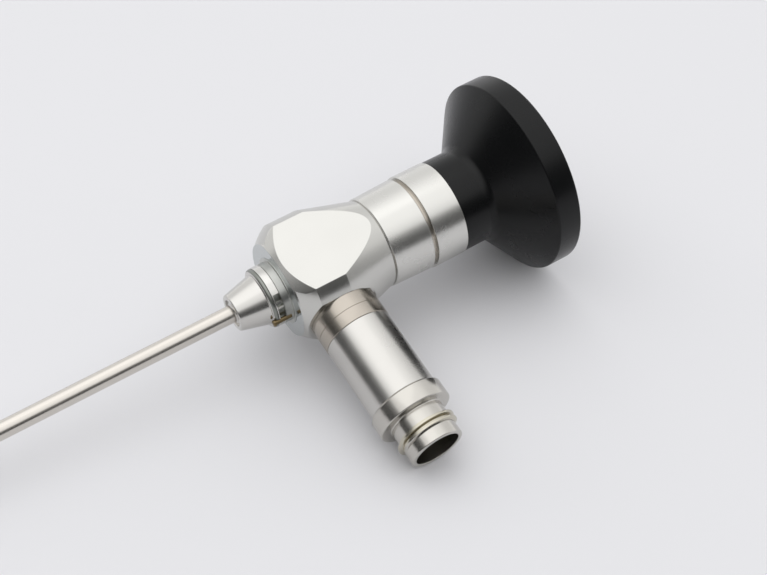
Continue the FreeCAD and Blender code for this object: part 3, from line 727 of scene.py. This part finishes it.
class ENDOSCOPE_OT_lock_ring(Operator):
    """Lock ring with its notch, and the brass pin beside it"""
    bl_idname = "endoscope.lock_ring"
    bl_label = "Lock ring and pin"

    def execute(self, context):
        size = context.scene.endoscope_ring
        front, rear, foot_radius = reach("lock_ring", SCOPE)
        bore = context.scene.endoscope_shaft.drum + size.clearance
        notch = front + size.lip
        line = notch + size.notch_width
        foot = rear - size.foot
        ring = turned("lock_ring_body", [
            (front, bore),
            (front, size.radius, size.edge),
            (line, size.radius),
            (line + size.line / 2, size.radius - size.line),
            (line + size.line, size.radius),
            (foot, size.radius, size.edge),
            (foot, foot_radius, size.edge / 2),
            (rear, foot_radius),
            (rear, bore),
        ], steps=SOCKET_STEPS)
        cutter = spin_profile("notch", [
            (notch, bore / 2), (notch, 2 * size.radius), (line, 2 * size.radius),
            (line, bore / 2)], size.notch_start, size.notch_sweep, NOTCH_STEPS)
        cut(ring, cutter)
        settle(ring, SCOPE, "lock_ring")
        self.pin(context, size)
        return {"FINISHED"}

    def pin(self, context, size):
        """Headed pin, parallel to the axis, whose head ends at the flange's front."""
        shaft = context.scene.endoscope_shaft
        ring_front = reach("lock_ring", SCOPE)[0]
        start = ring_front - shaft.flange_gap - shaft.flange_width
        pin = turned("pin", [
            (start - size.pin_head_length, 0),
            (start - size.pin_head_length, size.pin_head, size.pin_head_length / 3),
            (start, size.pin_head),
            (start, size.pin_radius),
            (start + size.pin_length, size.pin_radius),
            (start + size.pin_length, 0),
        ], steps=PIN_STEPS)
        round_axis = Matrix.Rotation(size.pin_angle, 4, "X")
        beside = Matrix.Translation((0, size.pin_pitch, 0))
        settle(pin, SCOPE @ round_axis @ beside, "lock_pin")


class ENDOSCOPE_OT_body(Operator):
    """Turned body with its milled flats, conical reliefs and the run-out round the post"""
    bl_idname = "endoscope.body"
    bl_label = "Body"

    def execute(self, context):
        size = context.scene.endoscope_body
        front, rear, radius = reach("body_housing", SCOPE)
        body = self.turned_blank(size, front, rear, radius)
        for turn in (0, math.pi):
            self.mill_flat(body, size, front, radius, turn)
        self.mill_side(body, size, radius)
        settle(body, SCOPE, "body_housing", MILLED_ANGLE)
        return {"FINISHED"}

    def turned_blank(self, size, front, rear, radius):
        """The body as it leaves the lathe, with its bulged shoulder and its taper."""
        shoulder = front + size.front_land
        full = shoulder + size.shoulder
        start = (shoulder, size.front_edge + size.front_rise)
        stop = (full, radius)
        return turned("body", [
            (front, size.bore),
            (front, size.front_edge),
            start,
            *bulged(start, stop, size.bulge),
            stop,
            (full + size.straight, radius),
            (rear, size.rear_radius),
            (rear, size.bore),
        ])

    def mill_flat(self, body, size, front, radius, turn):
        """Cuts one flat, then the cone that relieves it towards the front."""
        pick(body)
        up = Vector((0, 0, 1)) if turn == 0 else Vector((0, 0, -1))
        bpy.ops.object.mode_set(mode="EDIT")
        bpy.ops.mesh.select_all(action="SELECT")
        bpy.ops.mesh.bisect(plane_co=up * size.top_flat, plane_no=up, use_fill=True,
                            clear_outer=True, threshold=TINY)
        bpy.ops.object.mode_set(mode="OBJECT")
        margin = MM
        start = front - margin
        stop = front + size.front_land + size.shoulder + margin
        near = size.top_flat + size.relief_drop - size.relief_slope * (margin + size.relief_inset)
        far = near + size.relief_slope * (stop - start)
        cone = spin_profile("relief", [
            (start, near), (start, 3 * radius), (stop, 3 * radius), (stop, far)])
        cone.matrix_world = Matrix.Rotation(turn, 4, "X") @ Matrix.Translation(
            (0, 0, -size.relief_drop))
        cut(body, cone)

    def mill_side(self, body, size, radius):
        """Cuts the side flat in front of the post and its round run-out."""
        span = 4 * radius
        bpy.ops.object.select_all(action="DESELECT")
        bpy.ops.mesh.primitive_cube_add(size=span, location=(
            -span / 2, -size.side_flat - span / 2, 0))
        cut(body, bpy.context.object)
        run_out = spin_profile("run_out", [
            (size.side_flat, 0), (size.side_flat, size.run_out), (span, size.run_out), (span, 0)])
        run_out.matrix_world = Matrix.Rotation(math.radians(-90), 4, "Z")
        cut(body, run_out)


class ENDOSCOPE_OT_light_post(Operator):
    """Light post: base ring, sleeve, and the spigot with its collar, ridge and open mouth"""
    bl_idname = "endoscope.light_post"
    bl_label = "Light post"

    def execute(self, context):
        size = context.scene.endoscope_post
        side_flat = context.scene.endoscope_body.side_flat
        _, base_end, base_radius = reach("post_base_ring", POST)
        _, sleeve_end, sleeve_radius = reach("post_sleeve", POST)
        line = side_flat + size.line
        base = turned("base_ring", [
            (side_flat, size.duct),
            (side_flat, base_radius, size.edge),
            (line - size.edge / 2, base_radius),
            (line, base_radius - size.edge),
            (line + size.edge / 2, base_radius),
            (base_end, base_radius, size.edge),
            (base_end, size.duct),
        ])
        settle(base, POST, "post_base_ring")
        sleeve = turned("sleeve", [
            (base_end, size.duct),
            (base_end, sleeve_radius, size.edge),
            (sleeve_end, sleeve_radius, size.edge),
            (sleeve_end, size.duct),
        ])
        settle(sleeve, POST, "post_sleeve")
        self.spigot(size, sleeve_end)
        return {"FINISHED"}

    def spigot(self, size, start):
        """Collar, neck with its wound ridge, and the open mouth."""
        _, mouth, collar_radius = reach("post_spigot", POST)
        neck = start + size.collar
        spigot = turned("spigot", [
            (start, size.bore),
            (start, collar_radius - size.collar_chamfer, size.edge / 2),
            (start + size.collar_chamfer, collar_radius, size.edge / 2),
            (neck, collar_radius, size.round),
            (neck, size.end_radius, size.round),
            (mouth, size.end_radius, size.round),
            (mouth, size.bore, size.edge),
        ])
        pick(self.ridge(size, neck), spigot)
        bpy.ops.object.join()
        settle(spigot, POST, "post_spigot")

    def ridge(self, size, neck):
        """Rounded ridge: one section of it, wound round the neck and closed at both ends."""
        start = neck + size.ridge_start
        root = size.end_radius - size.round / 2
        base = size.ridge_base / 2
        crest = size.ridge_crest / 2
        # The corners come in the order in which Blender numbers those of a plane
        corners = ((-base, root), (-crest, size.ridge_radius), (base, root),
                   (crest, size.ridge_radius))
        bpy.ops.object.select_all(action="DESELECT")
        bpy.ops.mesh.primitive_plane_add(size=MM, location=(start, 0, -root))
        ridge = bpy.context.object
        bpy.ops.object.transform_apply(location=True, rotation=False, scale=False)
        for vertex, (along, radius) in zip(ridge.data.vertices, corners):
            vertex.co = (start + along, 0, -radius)
        modifier = ridge.modifiers.new("Wind", "SCREW")
        modifier.axis = "X"
        modifier.angle = math.tau * size.ridge_turns
        modifier.screw_offset = size.ridge_pitch * size.ridge_turns
        modifier.steps = RIDGE_STEPS
        modifier.render_steps = RIDGE_STEPS
        modifier.use_merge_vertices = False
        apply_modifier(ridge, modifier)
        bpy.ops.object.mode_set(mode="EDIT")
        bpy.ops.mesh.select_all(action="SELECT")
        bpy.ops.mesh.remove_doubles(threshold=TINY)
        bpy.ops.mesh.select_all(action="DESELECT")
        bpy.ops.mesh.select_non_manifold()
        bpy.ops.mesh.edge_face_add()
        bpy.ops.mesh.select_all(action="SELECT")
        bpy.ops.mesh.normals_make_consistent(inside=False)
        bpy.ops.object.mode_set(mode="OBJECT")
        self.sink_ends(ridge, size, start, root)
        break_edges(ridge, size.edge)
        return ridge

    def sink_ends(self, ridge, size, start, root):
        """Lets both ends of the ridge sink into the neck over part of a turn, down to a last
        share of its height that keeps its faces apart."""
        last = 0.02
        for vertex in ridge.data.vertices:
            along, side, up = vertex.co
            radius = math.hypot(side, up)
            turn = math.atan2(side, -up) / math.tau
            turn += round((along - start) / size.ridge_pitch - turn)
            near = min(turn, size.ridge_turns - turn) / size.ridge_run_out
            height = max(last, min(1.0, near))
            scale = (root + (radius - root) * height) / radius
            vertex.co = (along, side * scale, up * scale)


class ENDOSCOPE_OT_barrels(Operator):
    """Front and rear barrels on either side of the groove"""
    bl_idname = "endoscope.barrels"
    bl_label = "Barrels"

    def execute(self, context):
        size = context.scene.endoscope_barrels
        seam = reach("body_housing", SCOPE)[1]
        groove, groove_end, _ = reach("groove_seal", SCOPE)
        rear_radius = reach("rear_barrel", SCOPE)[2]
        cup = reach("eyepiece_cup", SCOPE)[0]
        front_barrel = turned("front_barrel_shell", [
            (seam, size.joint),
            (seam, size.front_radius - size.seam, size.edge / 3),
            (seam + size.seam, size.front_radius, size.edge / 3),
            (groove, rear_radius - size.step, size.edge),
            (groove, size.joint),
        ])
        settle(front_barrel, SCOPE, "front_barrel")
        rear_barrel = turned("rear_barrel_shell", [
            (groove_end, size.joint),
            (groove_end, rear_radius, size.edge),
            (cup, rear_radius, size.edge),
            (cup, size.joint),
        ])
        settle(rear_barrel, SCOPE, "rear_barrel")
        return {"FINISHED"}


class ENDOSCOPE_OT_eyepiece(Operator):
    """Black eyepiece cup with its neck, funnel, rim and open dish"""
    bl_idname = "endoscope.eyepiece"
    bl_label = "Eyepiece"

    def execute(self, context):
        size = context.scene.endoscope_eyepiece
        joint = context.scene.endoscope_barrels.joint
        start, rear, radius = reach("eyepiece_cup", SCOPE)
        window = reach("eyepiece_window", SCOPE)[0]
        funnel = start + size.neck_length
        dish = rear - size.dish_depth
        rim_inner = radius - size.rim_wall
        cup = turned("cup", [
            (start, joint),
            (start, size.neck, size.edge / 3),
            (funnel, size.neck, size.neck_round),
            (funnel + size.funnel, radius, size.edge),
            (rear, radius, size.edge),
            (rear, rim_inner, size.edge),
            (dish + size.dish, rim_inner, size.dish_round),
            (dish, size.window),
            (window, size.window),
            (window, size.ledge),
            (start, size.ledge),
        ], steps=CUP_STEPS)
        settle(cup, SCOPE, "eyepiece_cup")
        return {"FINISHED"}


class ENDOSCOPE_OT_inner_pieces(Operator):
    """Finishes on the solid model's own nodes, which the inner pieces keep as their shape"""
    bl_idname = "endoscope.inner_pieces"
    bl_label = "Inner pieces"

    def execute(self, context):
        for name, node in frame["nodes"].items():
            node.data.materials.clear()
            node.data.materials.append(finish_for(SLOTS[name]))
        return {"FINISHED"}


# The stage

# Steps of (height, light) of the pale cove behind the instrument and of the dim room in front,
# where the height of a direction goes from 0 at the horizon to 1 overhead
COVE_LIGHT = ((0.0, 1.05), (0.3, 0.85), (0.63, 0.88), (0.9, 1.2))
FRONT_LIGHT = ((0.0, 0.06), (0.34, 0.1), (0.48, 0.21), (0.57, 0.36), (0.65, 0.95), (0.9, 1.2))

# Level direction of the cove, and the cosines to it between which the front fades into the cove
COVE_DIRECTION = (0.637, 0.771, 0.0)
COVE_FADE = (-0.17, 0.13)

# Brightness that the camera sees past the floor, where 1 is white
BACKDROP = 0.8

# Side of the floor, and side and place of the soft light, in metres
FLOOR_SIDE = 6.0
KEY_SIDE = 0.8
KEY_PLACE = (-0.15, 0.25, 0.8)

# Width that the focal length is given for, in millimetres
SENSOR_WIDTH = 36.0


class ENDOSCOPE_OT_stage(Operator):
    """Pale floor, soft light from above and all round, and the camera"""
    bl_idname = "endoscope.stage"
    bl_label = "Stage"

    def execute(self, context):
        settings = context.scene.endoscope_stage
        self.floor(settings)
        self.room(context, settings)
        self.key_light(context, settings)
        self.camera(context, settings)
        context.scene.view_settings.view_transform = "Standard"
        return {"FINISHED"}

    def floor(self, settings):
        """Pale matt card: it takes a soft shadow and hardly mirrors the instrument."""
        bpy.ops.object.select_all(action="DESELECT")
        bpy.ops.mesh.primitive_plane_add(size=FLOOR_SIDE, location=(0, 0, 0))
        floor = bpy.context.object
        floor.name = "floor"
        material, tree = new_material("pale_floor")
        shader = add_node(tree, "ShaderNodeBsdfPrincipled", {
            "Base Color": opaque(settings.floor), "Roughness": 0.7, "Specular IOR Level": 0.2})
        floor.data.materials.append(close_material(material, shader))

    def room(self, context, settings):
        """Light from all round: bright overhead, a pale cove behind, a dim room in front."""
        world = bpy.data.worlds.new("soft_room")
        world.use_nodes = True
        tree = world.node_tree
        tree.nodes.clear()
        direction = add_node(tree, "ShaderNodeTexCoord").outputs["Generated"]
        height = add_node(tree, "ShaderNodeSeparateXYZ", {"Vector": direction}).outputs["Z"]
        fades = []
        for steps in (COVE_LIGHT, FRONT_LIGHT):
            ramp = add_node(tree, "ShaderNodeValToRGB", {"Fac": height})
            points = ramp.color_ramp.elements
            for i, (place, light) in enumerate(steps):
                point = points[i] if i < 2 else points.new(place)
                point.position = place
                point.color = (light, light, light, 1)
            fades.append(ramp.outputs["Color"])
        cove, front = fades
        towards = add_node(tree, "ShaderNodeVectorMath", {0: direction, 1: COVE_DIRECTION},
                           operation="DOT_PRODUCT").outputs["Value"]
        side = add_node(tree, "ShaderNodeMapRange", {
            "Value": towards, "From Min": COVE_FADE[0], "From Max": COVE_FADE[1]},
            interpolation_type="SMOOTHSTEP")
        light = add_node(tree, "ShaderNodeMix", {
            "Factor": side.outputs["Result"], "A": front, "B": cove})
        strength = add_node(tree, "ShaderNodeMath", {
            0: light.outputs["Result"], 1: settings.room}, operation="MULTIPLY")
        shown = add_node(tree, "ShaderNodeLightPath").outputs["Is Camera Ray"]
        seen = add_node(tree, "ShaderNodeMix", {
            "Factor": shown, "A": strength.outputs["Value"], "B": BACKDROP})
        background = add_node(tree, "ShaderNodeBackground", {"Strength": seen.outputs["Result"]})
        add_node(tree, "ShaderNodeOutputWorld", {"Surface": background.outputs["Background"]})
        context.scene.world = world

    def key_light(self, context, settings):
        """Square soft light that points at the instrument, with its power from its radiance."""
        data = bpy.data.lights.new("key_light", "AREA")
        data.shape = "SQUARE"
        data.size = KEY_SIDE
        data.energy = settings.key * math.pi * KEY_SIDE ** 2
        lamp = bpy.data.objects.new("key_light", data)
        lamp.location = KEY_PLACE
        lamp.rotation_euler = Vector(KEY_PLACE).to_track_quat("Z", "Y").to_euler()
        context.collection.objects.link(lamp)

    def camera(self, context, settings):
        """Camera at a distance from the point it looks at, turned about its view by the roll."""
        azimuth, elevation, roll = settings.azimuth, settings.elevation, settings.roll
        forward = Vector((-math.sin(azimuth) * math.cos(elevation),
                          math.cos(azimuth) * math.cos(elevation), -math.sin(elevation)))
        level = forward.cross(Vector((0, 0, 1))).normalized()
        above = level.cross(forward)
        right = level * math.cos(roll) + above * math.sin(roll)
        up = above * math.cos(roll) - level * math.sin(roll)
        data = bpy.data.cameras.new("camera")
        data.sensor_width = SENSOR_WIDTH
        data.lens = settings.lens
        data.clip_start = 10 * MM
        camera = bpy.data.objects.new("camera", data)
        turn = Matrix((right, up, -forward)).transposed().to_4x4()
        camera.matrix_world = Matrix.Translation(
            Vector(settings.aim) - forward * settings.distance) @ turn
        context.collection.objects.link(camera)
        context.scene.camera = camera


# Sidebar, register and run

SETTINGS = {
    "endoscope_shaft": ShaftSizes,
    "endoscope_ring": RingSizes,
    "endoscope_body": BodySizes,
    "endoscope_post": PostSizes,
    "endoscope_barrels": BarrelSizes,
    "endoscope_eyepiece": EyepieceSizes,
    "endoscope_colours": FinishColours,
    "endoscope_stage": StageSettings,
}

OPERATORS = (
    ENDOSCOPE_OT_inner_pieces,
    ENDOSCOPE_OT_shaft,
    ENDOSCOPE_OT_lock_ring,
    ENDOSCOPE_OT_body,
    ENDOSCOPE_OT_light_post,
    ENDOSCOPE_OT_barrels,
    ENDOSCOPE_OT_eyepiece,
    ENDOSCOPE_OT_stage,
)


class ENDOSCOPE_PT_sidebar(Panel):
    """Lists the pieces with their sizes and colours"""
    bl_idname = "ENDOSCOPE_PT_sidebar"
    bl_label = "Ear Endoscope"
    bl_space_type = "VIEW_3D"
    bl_region_type = "UI"
    bl_category = "Ear Endoscope"

    def draw(self, context):
        for operator in OPERATORS:
            self.layout.operator(operator.bl_idname)
        for name, group in SETTINGS.items():
            box = self.layout.box()
            for field in group.__annotations__:
                box.prop(getattr(context.scene, name), field)


CLASSES = (*SETTINGS.values(), *OPERATORS, ENDOSCOPE_PT_sidebar)


def register():
    """Makes the settings, operators and panel known to Blender."""
    for cls in CLASSES:
        bpy.utils.register_class(cls)
    for name, group in SETTINGS.items():
        setattr(bpy.types.Scene, name, PointerProperty(type=group))


def unregister():
    """Takes the settings, operators and panel away again."""
    for name in SETTINGS:
        delattr(bpy.types.Scene, name)
    for cls in reversed(CLASSES):
        bpy.utils.unregister_class(cls)


def main():
    """Builds every piece and the stage."""
    register()
    bpy.ops.endoscope.inner_pieces()
    bpy.ops.endoscope.shaft()
    bpy.ops.endoscope.lock_ring()
    bpy.ops.endoscope.body()
    bpy.ops.endoscope.light_post()
    bpy.ops.endoscope.barrels()
    bpy.ops.endoscope.eyepiece()
    bpy.ops.endoscope.stage()


if __name__ == "__main__":
    main()
